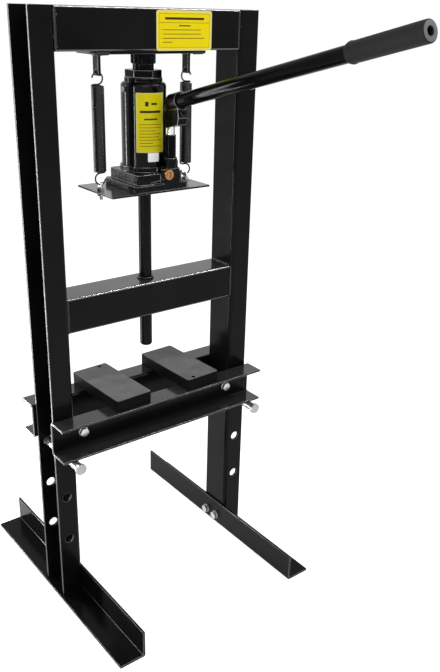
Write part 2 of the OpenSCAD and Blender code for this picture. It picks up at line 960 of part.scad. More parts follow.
module left_press_plate() {
  color("#3c3c3f")
    translate([left_plate_x, plate_y, bed_top_z]) rotate([0, 0, plate_turn]) press_plate();
}

module right_press_plate() {
  color("#3c3c3f")
    translate([right_plate_x, plate_y, bed_top_z])
      rotate([0, 0, 180 + plate_turn]) press_plate();
}

module support_pin() {
  translate([hole_x, -pin_end_y, pin_z]) y_rod(pin_d, 2 * pin_end_y);
  translate([hole_x, -pin_end_y - pin_head_t, pin_z]) y_rod(pin_head_d, pin_head_t);
}

module left_support_pin() {
  color("#b9bcc0") mirror([1, 0, 0]) support_pin();
}

module right_support_pin() {
  color("#b9bcc0") support_pin();
}

left_post();
right_post();
left_foot();
right_foot();
foot_bolts();
foot_washers();
foot_nuts();
top_beam();
guide_beam();
guide_bush();
hanger_bar();
hanger_tabs();
frame_welds();
beam_label();
extension_screw();
jack_ram();
ram_seal();
jack_plate();
press_ram();
hook_bolts();
hook_bolt_nuts();
jack_base();
jack_cylinder();
oil_tank();
cap_nut();
gland_seal();
tank_label();
tank_sticker();
oil_plug();
valve_balls();
pump_barrel();
link_strap();
link_pins();
left_spring();
right_spring();
handle_socket();
handle_tube();
handle_grip();
socket_screw();
pump_plunger();
plunger_pin();
plunger_seal();
release_valve();
front_bed_channel();
back_bed_channel();
bed_bolts();
bed_washers();
bed_nuts();
bed_spacers();
left_press_plate();
right_press_plate();
left_support_pin();
right_support_pin();
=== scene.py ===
"""Looks of the h-frame shop press: materials, threads, springs, welds and labels."""
import json
import math
import random

import bmesh
import bpy
import numpy as np
from mathutils import Matrix, Vector


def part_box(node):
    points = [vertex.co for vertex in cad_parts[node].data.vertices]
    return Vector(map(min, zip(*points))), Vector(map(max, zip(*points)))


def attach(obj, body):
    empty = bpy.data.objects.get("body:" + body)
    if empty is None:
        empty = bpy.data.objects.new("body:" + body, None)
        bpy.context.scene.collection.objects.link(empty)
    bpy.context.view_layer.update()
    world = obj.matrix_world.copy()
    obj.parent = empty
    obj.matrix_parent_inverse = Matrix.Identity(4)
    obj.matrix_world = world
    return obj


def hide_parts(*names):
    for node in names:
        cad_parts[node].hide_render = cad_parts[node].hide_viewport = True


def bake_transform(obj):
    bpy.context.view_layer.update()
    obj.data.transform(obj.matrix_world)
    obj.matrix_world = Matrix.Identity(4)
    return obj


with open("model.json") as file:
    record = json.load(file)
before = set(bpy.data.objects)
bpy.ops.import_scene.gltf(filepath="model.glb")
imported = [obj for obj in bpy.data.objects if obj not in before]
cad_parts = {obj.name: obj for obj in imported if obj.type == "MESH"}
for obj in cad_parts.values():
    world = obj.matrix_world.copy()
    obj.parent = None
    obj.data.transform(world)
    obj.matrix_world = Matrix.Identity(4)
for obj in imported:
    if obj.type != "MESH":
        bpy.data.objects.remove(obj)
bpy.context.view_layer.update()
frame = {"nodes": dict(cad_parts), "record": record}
MM = 0.001
UP = Vector((0, 0, 1))

# ---- Shader helpers ----

# A colour mix's sockets: its inputs A and B, and its result.
MIX_A, MIX_B, MIX_RESULT = 6, 7, 2


def new_material(name, color, rough, metal=0.0, specular=0.5):
    """A Principled material with its plain values set on the shader's own sockets."""
    mat = bpy.data.materials.new(name)
    mat.use_nodes = True
    shader = mat.node_tree.nodes["Principled BSDF"]
    shader.inputs["Base Color"].default_value = (*color, 1)
    shader.inputs["Roughness"].default_value = rough
    shader.inputs["Metallic"].default_value = metal
    shader.inputs["Specular IOR Level"].default_value = specular
    return mat


def node(mat, kind, **settings):
    """A node of one kind; settings that name an input set its value, the others set a property."""
    made = mat.node_tree.nodes.new(kind)
    for key, value in settings.items():
        if key in made.inputs:
            made.inputs[key].default_value = value
        else:
            setattr(made, key, value)
    return made


def link(mat, source, target):
    mat.node_tree.links.new(source, target)


def noise(mat, scale, detail):
    """Noise over the object's own coordinates, as a factor socket."""
    coords = node(mat, "ShaderNodeTexCoord")
    made = node(mat, "ShaderNodeTexNoise", Scale=scale, Detail=detail)
    link(mat, coords.outputs["Object"], made.inputs["Vector"])
    return made.outputs["Fac"]


def ramp(mat, factor, stops):
    """A colour ramp; each stop is a place and a grey value or a colour."""
    made = node(mat, "ShaderNodeValToRGB")
    link(mat, factor, made.inputs["Fac"])
    elements = made.color_ramp.elements
    while len(elements) < len(stops):
        elements.new(0.5)
    for element, (place, value) in zip(elements, stops):
        element.position = place
        element.color = (*value, 1) if isinstance(value, tuple) else (value, value, value, 1)
    return made.outputs["Color"]


def mix(mat, factor, low, high):
    """A colour mix; low and high are sockets or colours."""
    made = node(mat, "ShaderNodeMix", data_type="RGBA")
    link(mat, factor, made.inputs["Factor"])
    for value, key in ((low, MIX_A), (high, MIX_B)):
        if isinstance(value, tuple):
            made.inputs[key].default_value = (*value, 1)
        else:
            link(mat, value, made.inputs[key])
    return made.outputs[MIX_RESULT]


def plus(color, more):
    return tuple(c + more for c in color)


def times(color, factor):
    return tuple(c * factor for c in color)


def shader_of(mat):
    return mat.node_tree.nodes["Principled BSDF"]


def set_color(mat, socket):
    link(mat, socket, shader_of(mat).inputs["Base Color"])


def set_rough(mat, socket):
    link(mat, socket, shader_of(mat).inputs["Roughness"])


def add_bump(mat, height, strength, distance):
    """Bump from a height socket, chained after any bump that is there already."""
    made = node(mat, "ShaderNodeBump", Strength=strength, Distance=distance)
    link(mat, height, made.inputs["Height"])
    target = shader_of(mat).inputs["Normal"]
    if target.is_linked:
        link(mat, target.links[0].from_socket, made.inputs["Normal"])
    link(mat, made.outputs["Normal"], target)


def edge_mask(mat, radius, low, high):
    """White along convex and concave edges, black on open faces."""
    bevel = node(mat, "ShaderNodeBevel", samples=6, Radius=radius)
    geometry = node(mat, "ShaderNodeNewGeometry")
    dot = node(mat, "ShaderNodeVectorMath", operation="DOT_PRODUCT")
    link(mat, bevel.outputs["Normal"], dot.inputs[0])
    link(mat, geometry.outputs["Normal"], dot.inputs[1])
    return ramp(mat, dot.outputs["Value"], [(low, 1.0), (high, 0.0)])


def upward_mask(mat):
    """White on faces that look up, black on the others."""
    geometry = node(mat, "ShaderNodeNewGeometry")
    parts = node(mat, "ShaderNodeSeparateXYZ")
    link(mat, geometry.outputs["Normal"], parts.inputs[0])
    return ramp(mat, parts.outputs["Z"], [(0.6, 0.0), (0.9, 1.0)])


# ---- Materials ----


def gloss_paint(name, base, rough, specular, top_dust_and_sheen=0.0, uneven=1.0):
    """Black enamel with a painted highlight along its edges.

    Its top faces can be painted a little grey, for dust and a painted sheen of light; uneven is how
    much its gloss varies.
    """
    mat = new_material(name, base, rough, specular=specular)
    dust = ramp(mat, noise(mat, 9, 6), [(0.35, 0.0), (0.8, 1.0)])
    film = mix(mat, dust, base, plus(base, 0.003))
    # Grey on the faces that look up: dust, and a painted sheen of the light on them.
    if top_dust_and_sheen:
        grey = ramp(mat, noise(mat, 14, 5), [(0.3, top_dust_and_sheen * 0.75), (0.7, top_dust_and_sheen * 1.2)])
        film = mix(mat, upward_mask(mat), film, grey)
    # Lighter along convex and concave edges: a painted highlight.
    set_color(mat, mix(mat, edge_mask(mat, 0.0009, 0.9, 0.995), film, plus(base, 0.035)))
    smooth, dull = rough - 0.06 * uneven, rough + 0.1 * uneven
    set_rough(mat, ramp(mat, noise(mat, 22, 5), [(0.3, smooth), (0.75, dull)]))
    add_bump(mat, noise(mat, 420, 2), 0.12, 0.0004)
    return mat


def cast_paint(name, base, rough):
    """Black paint over a rough casting, whose bumps catch small glints."""
    mat = new_material(name, base, rough, specular=0.085)
    # Lighter along convex and concave edges: a painted highlight.
    set_color(mat, mix(mat, edge_mask(mat, 0.0015, 0.85, 0.99), base, plus(base, 0.03)))
    set_rough(mat, ramp(mat, noise(mat, 60, 4), [(0.3, rough - 0.06), (0.8, rough + 0.12)]))
    add_bump(mat, noise(mat, 300, 6), 0.8, 0.0014)
    add_bump(mat, noise(mat, 90, 3), 0.7, 0.003)
    return mat


def edge_paint(name, base, rough, ior=1.5):
    """Enamel on rounded edges, where it shines most and its colour carries a painted highlight; an
    ior above 1.5 is only for the look.
    """
    mat = new_material(name, base, rough, specular=1.0)
    shader_of(mat).inputs["IOR"].default_value = ior
    # Lighter in patches, up to four times the base: part of the painted highlight.
    set_color(mat, mix(mat, noise(mat, 120, 4), base, times(base, 4)))
    set_rough(mat, ramp(mat, noise(mat, 60, 4), [(0.3, rough), (0.75, rough + 0.12)]))
    add_bump(mat, noise(mat, 300, 2), 0.03, 0.0003)
    return mat


def plated_steel(name, base, rough, tone=0.12):
    """Zinc or bare steel: cloudy plating with fine turning marks."""
    mat = new_material(name, base, rough, metal=1.0)
    dark = tuple(max(c - tone, 0) for c in base)
    set_color(mat, mix(mat, noise(mat, 160, 5), dark, base))
    set_rough(mat, ramp(mat, noise(mat, 240, 3), [(0.3, rough - 0.08), (0.7, rough + 0.12)]))
    add_bump(mat, noise(mat, 1400, 2), 0.15, 0.0002)
    return mat


def plate_steel():
    """Satin paint on a sawn plate: its top faces carry a painted sheen and its edges a painted
    highlight.
    """
    base = (0.004, 0.004, 0.0043)
    mat = new_material("press_plate_satin", base, 0.45, specular=0.02)
    # The top faces painted lighter: a painted sheen.
    painted_top_sheen = ramp(mat, noise(mat, 45, 6), [(0.3, (0.1, 0.1, 0.101)), (0.75, (0.14, 0.14, 0.142))])
    faces = mix(mat, upward_mask(mat), base, painted_top_sheen)
    # Lighter along the edges: a painted highlight.
    set_color(mat, mix(mat, edge_mask(mat, 0.001, 0.88, 0.99), faces, (0.13, 0.13, 0.133)))
    set_rough(mat, ramp(mat, noise(mat, 90, 5), [(0.3, 0.34), (0.75, 0.55)]))
    add_bump(mat, noise(mat, 500, 4), 0.25, 0.0004)
    add_bump(mat, noise(mat, 30, 3), 0.1, 0.002)
    return mat


def grip_rubber(name, base):
    """Foam rubber: matte with fine pores."""
    mat = new_material(name, base, 0.62, specular=0.16)
    set_color(mat, mix(mat, noise(mat, 150, 5), base, times(base, 1.6)))
    add_bump(mat, noise(mat, 900, 4), 0.5, 0.0004)
    return mat


def printed_sheet(name, base, shade):
    """A printed label: slight unevenness of ink under a glossy film."""
    mat = new_material(name, base, 0.32, specular=0.12)
    set_color(mat, mix(mat, noise(mat, 60, 4), base, shade))
    add_bump(mat, noise(mat, 260, 2), 0.08, 0.0003)
    return mat


def spring_wire():
    """Oiled black spring wire with drawing marks along it."""
    base = (0.004, 0.004, 0.0045)
    mat = new_material("spring_wire", base, 0.1, specular=0.35)
    set_color(mat, mix(mat, noise(mat, 300, 3), base, (0.012, 0.012, 0.013)))
    set_rough(mat, ramp(mat, noise(mat, 500, 3), [(0.3, 0.08), (0.7, 0.2)]))
    return mat


def copper():
    base = (0.5, 0.25, 0.1)
    mat = new_material("valve_copper", base, 0.34, metal=0.9)
    cloudy = mix(mat, noise(mat, 220, 5), (0.3, 0.13, 0.05), base)
    # Darker along its edges and in its creases: painted shade.
    set_color(mat, mix(mat, edge_mask(mat, 0.0012, 0.8, 0.99), cloudy, (0.16, 0.07, 0.03)))
    add_bump(mat, noise(mat, 700, 3), 0.3, 0.0004)
    return mat


PAINT = gloss_paint("frame_enamel", (0.0025, 0.0025, 0.0028), 0.18, specular=0.065)
HANDLE_PAINT = gloss_paint("handle_enamel", (0.002, 0.002, 0.0023), 0.13, specular=0.035)
# The frame's top faces: glossier enamel, painted a little grey for dust and a painted sheen.
TOP_PAINT = gloss_paint(
    "frame_top_enamel", (0.0025, 0.0025, 0.0028), 0.13, specular=0.42, top_dust_and_sheen=0.02, uneven=0.25
)
JACK_PAINT = gloss_paint("jack_enamel", (0.0015, 0.0015, 0.0018), 0.1, specular=0.04)
TANK_PAINT = gloss_paint("tank_enamel", (0.0015, 0.0015, 0.0018), 0.07, specular=0.13)
# The edge enamels are lighter than their paints: a painted highlight along rounded edges.
EDGE = edge_paint("frame_edge_enamel", (0.006, 0.006, 0.0063), 0.1)
CROWN = edge_paint("beam_crown_enamel", (0.006, 0.006, 0.0063), 0.1, ior=1.9)
JACK_EDGE = edge_paint("jack_edge_enamel", (0.002, 0.002, 0.0023), 0.08)
CASTING = cast_paint("base_casting", (0.0015, 0.0015, 0.0018), 0.12)
WELD = gloss_paint("weld_enamel", (0.004, 0.004, 0.0044), 0.16, specular=0.3)
ZINC = plated_steel("zinc_plate", (0.6, 0.61, 0.63), 0.3, tone=0.2)
PIN_STEEL = plated_steel("pin_steel", (0.4, 0.41, 0.41), 0.36, tone=0.14)
BARE_STEEL = plated_steel("ground_steel", (0.55, 0.55, 0.57), 0.25)
BRIGHT_STEEL = plated_steel("plunger_steel", (0.8, 0.81, 0.83), 0.12, tone=0.05)
PLATE = plate_steel()
GRIP = grip_rubber("grip_rubber", (0.008, 0.0084, 0.0088))
GRIP_END = grip_rubber("grip_cut_end", (0.1, 0.1, 0.105))
SPRING = spring_wire()
COPPER = copper()
SEAL = new_material("seal_leather", (0.3, 0.2, 0.09), 0.7)
PLUG = new_material("plug_rubber", (0.03, 0.03, 0.032), 0.5)
YELLOW = printed_sheet("label_yellow", (0.7, 0.56, 0.002), (0.64, 0.5, 0.001))
PALE = printed_sheet("label_pale", (0.62, 0.58, 0.22), (0.56, 0.52, 0.18))
# The tank label's yellow and pale: darker copies of the beam label's, a painted shade.
SHADED_YELLOW = printed_sheet("tank_label_shaded_yellow", (0.52, 0.45, 0.003), (0.46, 0.4, 0.002))
SHADED_PALE = printed_sheet("tank_label_shaded_pale", (0.5, 0.47, 0.16), (0.45, 0.42, 0.13))
INK = printed_sheet("label_ink", (0.02, 0.018, 0.006), (0.035, 0.03, 0.01))
WHITE = printed_sheet("sticker_white", (0.78, 0.78, 0.77), (0.72, 0.72, 0.71))

# The enamel on each paint's rounded edges.
EDGE_OF = {PAINT: EDGE, HANDLE_PAINT: EDGE, JACK_PAINT: JACK_EDGE, CASTING: JACK_EDGE}
# Nodes whose flat upper faces mirror what is round them.
GLOSSY_TOPS = ("jack_plate", "front_bed_channel", "back_bed_channel", "top_beam", "guide_beam")

# ---- Mesh helpers ----

# Vertices nearer than this, in metres, are joined.
MERGE = 1e-6
# Steps round a circle or a hexagon.
ROUND = 48
# Slope of a hexagon's chamfer, and its flat face's radius as a share of its width across flats.
CHAMFER = math.tan(math.radians(30))
FACE = 0.47


def add_piece(name, shapes, materials, body, replaces):
    """Shapes as one mesh object, which rides on the body if one is given."""
    mesh = bpy.data.meshes.new(name)
    mesh.from_pydata([tuple(v) for v in shapes.verts], [], shapes.faces)
    for mat in materials:
        mesh.materials.append(mat)
    mesh.polygons.foreach_set("material_index", shapes.tags)
    mesh.polygons.foreach_set("use_smooth", [True] * len(mesh.polygons))
    mesh.validate()
    piece = bpy.data.objects.new(name, mesh)
    bpy.context.scene.collection.objects.link(piece)
    recalculate_normals(mesh)
    if body:
        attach(piece, body)
    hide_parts(*replaces)
    return piece


def recalculate_normals(mesh):
    work = bmesh.new()
    work.from_mesh(mesh)
    bmesh.ops.recalc_face_normals(work, faces=work.faces)
    work.to_mesh(mesh)
    work.free()


def add_shown(node_name, shapes, materials, angle=35):
    """Shapes in a CAD node's place, shaded smooth across angles of up to so many degrees."""
    piece = add_piece(
        node_name + "_shown", shapes, materials,
        body_of(node_name), [node_name],
    )
    piece.data.set_sharp_from_angle(angle=math.radians(angle))


class Shapes:
    """Collects simple shapes into one list of vertices and faces; a tag is a material's index."""

    def __init__(self):
        self.verts, self.faces, self.tags = [], [], []

    def add(self, verts, faces, place=Matrix.Identity(4), tag=0):
        start = len(self.verts)
        self.verts += [place @ Vector(v) for v in verts]
        self.faces += [[i + start for i in face] for face in faces]
        self.tags += [tag] * len(faces)


def along(origin, axis):
    """A matrix that takes Z to the axis and zero to the origin."""
    turn = UP.rotation_difference(Vector(axis)).to_matrix().to_4x4()
    return Matrix.Translation(origin) @ turn


def facing(origin, axis, side):
    """A matrix that takes Z to the axis and X to the side direction."""
    z = Vector(axis).normalized()
    x = Vector(side).normalized()
    return Matrix.Translation(origin) @ Matrix((x, z.cross(x), z)).transposed().to_4x4()


def rings_to_mesh(rings, loop=False):
    """Skins equal rings of points, and closes both ends or, with loop, joins last to first."""
    count = len(rings[0])
    verts = [p for ring in rings for p in ring]
    faces = []
    for i in range(len(rings) if loop else len(rings) - 1):
        low, high = i * count, (i + 1) % len(rings) * count
        for j in range(count):
            k = (j + 1) % count
            faces.append([low + j, low + k, high + k, high + j])
    if not loop:
        faces.append(list(range(count))[::-1])
        faces.append(list(range(len(verts) - count, len(verts))))
    return verts, faces


def angles(steps):
    """The angles of equal steps round a full turn."""
    return [2 * math.pi * i / steps for i in range(steps)]


def lathe(profile, steps):
    """Turns a profile of (radius, height) about Z."""
    return rings_to_mesh([circle(radius, height, steps) for radius, height in profile])


def circle(radius, height, steps=ROUND):
    return [(radius * math.cos(a), radius * math.sin(a), height) for a in angles(steps)]


def hex_ring(flats, height, dip=0.0):
    """Points round a hexagon with a corner on X; dip lowers them towards the corners."""
    ring = []
    for a in angles(ROUND):
        radius = flats / 2 / math.cos(a % (math.pi / 3) - math.pi / 6)
        drop = dip * (radius - flats / 2)
        ring.append((radius * math.cos(a), radius * math.sin(a), height - drop))
    return ring


def bolt_head(flats, height):
    """A hexagon head from z = 0, its outer corners turned off at 30 degrees."""
    rings = [
        circle(flats * FACE, 0),
        hex_ring(flats, 0, dip=-CHAMFER),
        hex_ring(flats, height),
    ]
    return rings_to_mesh(rings)


def nut_body(flats, height, bore):
    """A hexagon nut chamfered on both faces, with a countersunk bore of that radius."""
    sink = bore * 0.1
    rings = [
        circle(bore, sink), circle(bore + sink, 0), circle(flats * FACE, 0),
        hex_ring(flats, 0, dip=-CHAMFER), hex_ring(flats, height, dip=CHAMFER),
        circle(flats * FACE, height), circle(bore + sink, height), circle(bore, height - sink),
    ]
    return rings_to_mesh(rings, loop=True)


def threaded_rod(radius, length, thread, per_turn=20):
    """A rod with a right-hand thread, tapered off over the last pitch at both ends."""
    pitch, depth = thread
    rows_a_pitch = 6
    steps = max(2, int(length / pitch * rows_a_pitch))
    rings = []
    for i in range(steps + 1):
        z = length * i / steps
        ease = min(1.0, z / pitch, (length - z) / pitch)
        ring = []
        for j, a in enumerate(angles(per_turn)):
            wave = abs(((z / pitch - j / per_turn) % 1.0) * 2 - 1)
            r = radius - depth * (wave * ease + (1 - ease))
            ring.append((r * math.cos(a), r * math.sin(a), z))
        rings.append(ring)
    return rings_to_mesh(rings)


def sweep_rings(path, radius, sides):
    """Rings of a round wire along a path, turned as little as possible from one to the next."""
    rings = []
    normal = None
    for i, point in enumerate(path):
        ahead = path[min(i + 1, len(path) - 1)] - path[max(i - 1, 0)]
        tangent = ahead.normalized()
        if normal is None:
            normal = tangent.orthogonal()
        normal = (normal - tangent * normal.dot(tangent)).normalized()
        side = tangent.cross(normal)
        ways = [normal * math.cos(a) + side * math.sin(a) for a in angles(sides)]
        rings.append([point + way * radius for way in ways])
    return rings


def solids_of(node_name):
    """The lowest and highest corner of each separate solid in a CAD node."""
    work = bmesh.new()
    work.from_mesh(frame["nodes"][node_name].data)
    bmesh.ops.remove_doubles(work, verts=work.verts, dist=MERGE)
    seen, boxes = set(), []
    for first in work.verts:
        if first.index in seen:
            continue
        stack, group = [first], []
        seen.add(first.index)
        while stack:
            vert = stack.pop()
            group.append(vert.co)
            for edge in vert.link_edges:
                other = edge.other_vert(vert)
                if other.index not in seen:
                    seen.add(other.index)
                    stack.append(other)
        co = np.array(group)
        boxes.append((Vector(co.min(0)), Vector(co.max(0))))
    work.free()
    return boxes


def body_of(node_name):
    bodies = frame["record"]["behaviour"]["bodies"]
    return next(body for body, nodes in bodies.items() if node_name in nodes)


def slot_of(node_name):
    parts = frame["record"]["subparts"]
    return next(part["material_slot"] for part in parts if part["node"] == node_name)


# A rounded copy's material slots.
ON_FLAT, ON_EDGE, ON_TOP, ON_CROWN = range(4)
# Degrees above which an edge is rounded, and below which two faces are one.
SHARP_ANGLE = 32
SAME_FACE_ANGLE = 0.5
# Cosine above which a face looks straight along an axis.
STRAIGHT = 0.995


def polish_corners(work):
    """Gives a beam's rounded corners the edge enamel, and the upper front one the crown's."""
    for face in work.faces:
        across = max(abs(face.normal.y), abs(face.normal.z))
        if abs(face.normal.x) < 0.1 and across < STRAIGHT:
            face.material_index = ON_CROWN if face.normal.y < 0 < face.normal.z else ON_EDGE


def round_outline(work, radius):
    """Rounds the sharp upright edges of a flat block."""
    least_turn, least_rise = 1, 0.99
    upright = []
    for edge in work.edges:
        rise = abs((edge.verts[0].co - edge.verts[1].co).normalized().z)
        if len(edge.link_faces) == 2 and edge.calc_face_angle(0) > least_turn and rise > least_rise:
            upright.append(edge)
    bmesh.ops.bevel(
        work, geom=upright, offset=radius, segments=6, profile=0.5,
        affect="EDGES", clamp_overlap=False, material=ON_FLAT,
    )


def gloss_tops(work):
    """Gives the flat faces that look up the top's enamel."""
    for face in work.faces:
        if face.normal.z > STRAIGHT:
            face.material_index = ON_TOP


def rounded_copy(node_name, material, width, beam=False, outline=0):
    """A copy of a CAD node whose sharp edges are rounded off, shown in the node's place."""
    work = bmesh.new()
    work.from_mesh(frame["nodes"][node_name].data)
    bmesh.ops.remove_doubles(work, verts=work.verts, dist=MERGE)
    bmesh.ops.dissolve_limit(
        work, angle_limit=math.radians(SAME_FACE_ANGLE), verts=work.verts, edges=work.edges
    )
    for face in work.faces:
        face.material_index = ON_FLAT
    if beam:
        polish_corners(work)
    if node_name in GLOSSY_TOPS:
        gloss_tops(work)
    if outline:
        round_outline(work, outline)
    limit = math.radians(SHARP_ANGLE)
    sharp = [e for e in work.edges if len(e.link_faces) == 2 and e.calc_face_angle(0) > limit]
    bmesh.ops.bevel(
        work, geom=sharp, offset=width, segments=2, profile=0.5,
        affect="EDGES", clamp_overlap=False, miter_outer="ARC", material=ON_EDGE,
    )
    mesh = bpy.data.meshes.new(node_name + "_shown")
    work.to_mesh(mesh)
    work.free()
    shown = [material, EDGE_OF.get(material, material)]
    if node_name in GLOSSY_TOPS:
        shown.append(TOP_PAINT)
    if beam:
        shown.append(CROWN)
    for mat in shown:
        mesh.materials.append(mat)
    mesh.polygons.foreach_set("use_smooth", [True] * len(mesh.polygons))
    piece = bpy.data.objects.new(node_name + "_shown", mesh)
    bpy.context.scene.collection.objects.link(piece)
    weights = piece.modifiers.new("weights", "WEIGHTED_NORMAL")
    weights.weight = 80
    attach(piece, body_of(node_name))
    slot_of(node_name)
    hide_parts(node_name)
    return piece


def repaint(node_name, material):
    """Gives a CAD node that is shown as it is a better material."""
    mesh_node = frame["nodes"][node_name]
    mesh_node.data.materials.clear()
    mesh_node.data.materials.append(material)


# ---- Steelwork ----

# The width of each node's rounded edges in mm, by paint.
ROUNDED = {
    PAINT: {
        "left_post": 0.6, "right_post": 0.6, "left_foot": 0.7, "right_foot": 0.7,
        "guide_bush": 0.6, "hanger_bar": 0.7, "hanger_tabs": 0.6, "press_ram": 0.4,
        "bed_spacers": 0.3, "front_bed_channel": 1.2, "back_bed_channel": 1.2, "jack_plate": 0.5,
    },
    HANDLE_PAINT: {"handle_tube": 0.3},
    JACK_PAINT: {
        "cap_nut": 0.8, "pump_barrel": 0.6, "link_strap": 0.5, "handle_socket": 0.8,
        "jack_ram": 0.5, "link_pins": 0.3, "plunger_pin": 0.3, "socket_screw": 0.5,
    },
    CASTING: {"jack_base": 1.0},
    ZINC: {"bed_washers": 0.3, "foot_washers": 0.3},
    PIN_STEEL: {"left_support_pin": 1.0, "right_support_pin": 1.0},
    BRIGHT_STEEL: {"pump_plunger": 0.4},
    COPPER: {"release_valve": 0.6},
}

for material, nodes in ROUNDED.items():
    for name, width in nodes.items():
        rounded_copy(name, material, width * MM)
for name in ("top_beam", "guide_beam"):
    rounded_copy(name, PAINT, 0.4 * MM, beam=True)
for name in ("left_press_plate", "right_press_plate"):
    rounded_copy(name, PLATE, 0.8 * MM, outline=4 * MM)

REPAINTED = {
    "oil_tank": TANK_PAINT, "jack_cylinder": BARE_STEEL, "valve_balls": BARE_STEEL,
    "oil_plug": PLUG, "plunger_seal": PLUG, "ram_seal": SEAL, "gland_seal": SEAL,
}

for name, material in REPAINTED.items():
    repaint(name, material)

# ---- Grip ----


def axis_of(node_name):
    """The direction of a long round node, pointing ahead (-Y), from its points' spread."""
    co = np.array([v.co for v in frame["nodes"][node_name].data.vertices])
    direction = np.linalg.svd(co - co.mean(0), full_matrices=False)[2][0]
    return Vector(direction if direction[1] < 0 else -direction)


def along_axis(node_name, axis):
    """A round node's start on its axis, and its length along it."""
    side = axis.cross(UP).normalized()
    basis = (axis, side, axis.cross(side))
    points = [v.co for v in frame["nodes"][node_name].data.vertices]
    spans = [[p.dot(b) for p in points] for b in basis]
    start = basis[0] * min(spans[0])
    for b, span in zip(basis[1:], spans[1:]):
        start = start + b * (min(span) + max(span)) / 2
    return start, max(spans[0]) - min(spans[0])


def add_grip():
    """The foam grip: a soft flange at its start, and a paler cut end with a hole."""
    axis = axis_of("handle_tube")
    start, length = along_axis("handle_grip", axis)
    # Radii and places along the grip, in mm.
    bore, wall, hole = 10.05, 12, 4.5
    end = length / MM
    profile = [
        (bore, 0), (wall - 1.3, 0), (wall - 0.3, 1.2), (wall + 0.6, 4.2), (wall + 0.7, 5.4),
        (wall + 0.1, 7), (wall, 9), (wall, end - 1.8), (wall - 0.4, end - 0.6), (wall - 1.4, end),
        (hole + 0.8, end), (hole, end - 0.8), (hole, end - 4), (bore, end - 4),
    ]
    # The cut end lies between this ring and the next.
    cut_end = 9
    steps = 56
    rings = [circle(r * MM, h * MM, steps) for r, h in profile]
    shapes = Shapes()
    shapes.add(*rings_to_mesh(rings, loop=True), along(start, axis))
    shapes.tags = [1 if i == cut_end else 0 for i in range(len(rings)) for _ in range(steps)]
    add_shown("handle_grip", shapes, [GRIP, GRIP_END], angle=40)


add_grip()

# ---- Bolts and nuts ----

# An M8 hexagon bolt's head height and shank, for its 13 mm across the flats.
HEAD_TO_FLATS = 5.3 / 13
SHANK_TO_FLATS = 8 / 13
# Pitch and depth of the threads of the hexagon bolts, the hook bolts and the extension screw.
BOLT_THREAD = (1.25 * MM, 0.65 * MM)
HOOK_THREAD = (1.0 * MM, 0.5 * MM)
SCREW_THREAD = (3 * MM, 1.3 * MM)


def box_axes(low, high, longest):
    """A hexagon's own axis, the axis that its corners point along, and its width across flats."""
    size = high - low
    pick = max if longest else min
    axis = pick(range(3), key=lambda i: size[i])
    others = [i for i in range(3) if i != axis]
    corner = max(others, key=lambda i: size[i])
    flats = min(size[i] for i in others)
    return axis, corner, flats


def unit(index, sign=1):
    vector = Vector((0, 0, 0))
    vector[index] = sign
    return vector


def add_bolts(node_name, cut_length, head_is_low):
    """Hexagon bolts in place of a node's plain ones; cut_length is the thread's length."""
    shapes = Shapes()
    for low, high in solids_of(node_name):
        axis, corner, flats = box_axes(low, high, longest=True)
        head_low = head_is_low(low)
        start = (low + high) / 2
        start[axis] = low[axis] if head_low else high[axis]
        place = facing(start, unit(axis, 1 if head_low else -1), unit(corner))
        length = high[axis] - low[axis]
        head = flats * HEAD_TO_FLATS
        radius = flats * SHANK_TO_FLATS / 2
        cut_z = length - cut_length
        shapes.add(*bolt_head(flats, head), place)
        plain = [(radius, head - 0.2 * MM), (radius, cut_z), (radius * 0.86, cut_z)]
        shapes.add(*lathe(plain, steps=32), place)
        cut = threaded_rod(radius, cut_length, BOLT_THREAD)
        shapes.add(*cut, place @ Matrix.Translation((0, 0, cut_z)))
    add_shown(node_name, shapes, [ZINC])


def add_nuts(node_name, bore):
    """Hexagon nuts in place of a node's plain ones; bore is their thread's radius."""
    shapes = Shapes()
    for low, high in solids_of(node_name):
        axis, corner, flats = box_axes(low, high, longest=False)
        start = (low + high) / 2
        start[axis] = low[axis]
        nut = nut_body(flats, high[axis] - low[axis], bore)
        shapes.add(*nut, facing(start, unit(axis), unit(corner)))
    add_shown(node_name, shapes, [ZINC])


add_bolts("bed_bolts", 24 * MM, head_is_low=lambda low: True)
add_bolts("foot_bolts", 14 * MM, head_is_low=lambda low: low.x > 0)
add_nuts("bed_nuts", bore=3.9 * MM)
add_nuts("foot_nuts", bore=3.9 * MM)
add_nuts("hook_bolt_nuts", bore=2.9 * MM)

# ---- Hook bolts ----


def eye_blade(width, rise, drop, thickness, bore):
    """A flattened eye in the YZ plane: round above its hole, square-shouldered below."""
    steps, least = 40, 1e-6

    def outline(a):
        across, along_z = abs(math.cos(a)), abs(math.sin(a))
        if math.sin(a) >= 0:
            return 1 / math.hypot(across / (width / 2), along_z / rise)
        return min(width / 2 / max(across, least), drop / max(along_z, least))

    def ring(x, inset):
        reaches = [(a, outline(a) - inset) for a in angles(steps)]
        return [(x, reach * math.cos(a), reach * math.sin(a)) for a, reach in reaches]

    def hole(x, extra):
        reach = bore + extra
        return [(x, reach * math.cos(a), reach * math.sin(a)) for a in angles(steps)]

    half, soft = thickness / 2, 0.4 * MM
    rings = [
        hole(-half + soft, 0), hole(-half, soft), ring(-half, soft), ring(-half + soft, 0),
        ring(half - soft, 0), ring(half, soft), hole(half, soft), hole(half - soft, 0),
    ]
    return rings_to_mesh(rings, loop=True)


